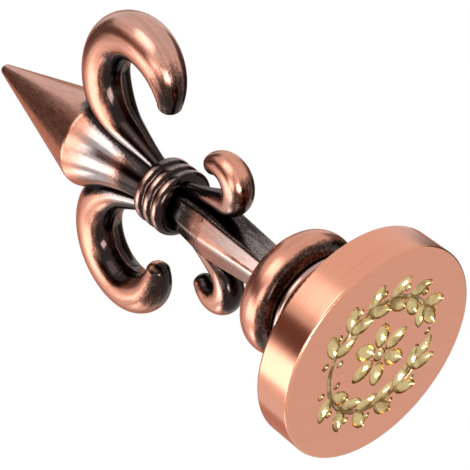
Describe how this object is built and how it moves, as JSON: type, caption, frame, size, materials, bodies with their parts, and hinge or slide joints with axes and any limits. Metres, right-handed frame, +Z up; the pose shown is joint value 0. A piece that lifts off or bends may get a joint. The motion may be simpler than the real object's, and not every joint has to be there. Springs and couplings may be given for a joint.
{
  "type": "wax seal stamp",
  "caption": "Hand stamp for sealing wax: an engraved round metal head screws onto a turned knob under a lily-shaped handle with hooked petals, small curls and a spear tip.",
  "frame": {"origin": "centre of the engraved face, which the stamp stands on", "axes": "+Z up the handle to the tip of the spear, X across the petals and curls, Y through the flat of the lily"},
  "size_m": [0.0466, 0.03, 0.0799],
  "materials": {
    "copper_faced_brass": "brushed copper plating, cut through to bright brass in the engraving",
    "antique_copper": "copper-plated zinc casting, blackened and polished back on the raised parts",
    "plated_steel": "zinc plated",
    "red_fibre": "pressed fibre"
  },
  "bodies": {
    "handle": {"base_knob": "antique_copper", "screw_washer": "plated_steel", "tie_screw": "plated_steel", "tail_stem": "antique_copper", "curl_right": "antique_copper", "curl_left": "antique_copper", "binding_band": "antique_copper", "petal_right": "antique_copper", "petal_left": "antique_copper", "spear": "antique_copper"},
    "washer": {"head_washer": "red_fibre"},
    "head": {"stamp_head": "copper_faced_brass"}
  },
  "joints": [
    {"name": "head_travel", "type": "slide", "parent": "handle", "child": "washer", "axis": [0, 0, -1], "range_m": [0, 0.0035]},
    {"name": "head_turn", "type": "hinge", "parent": "washer", "child": "head", "pos_m": [0, 0, 0], "axis": [0, 0, -1], "range_deg": [0, 1260]}
  ],
  "couplings": [
    {"joint": "head_travel", "follows": "head_turn", "m_per_rad": 0.00015915}
  ]
}
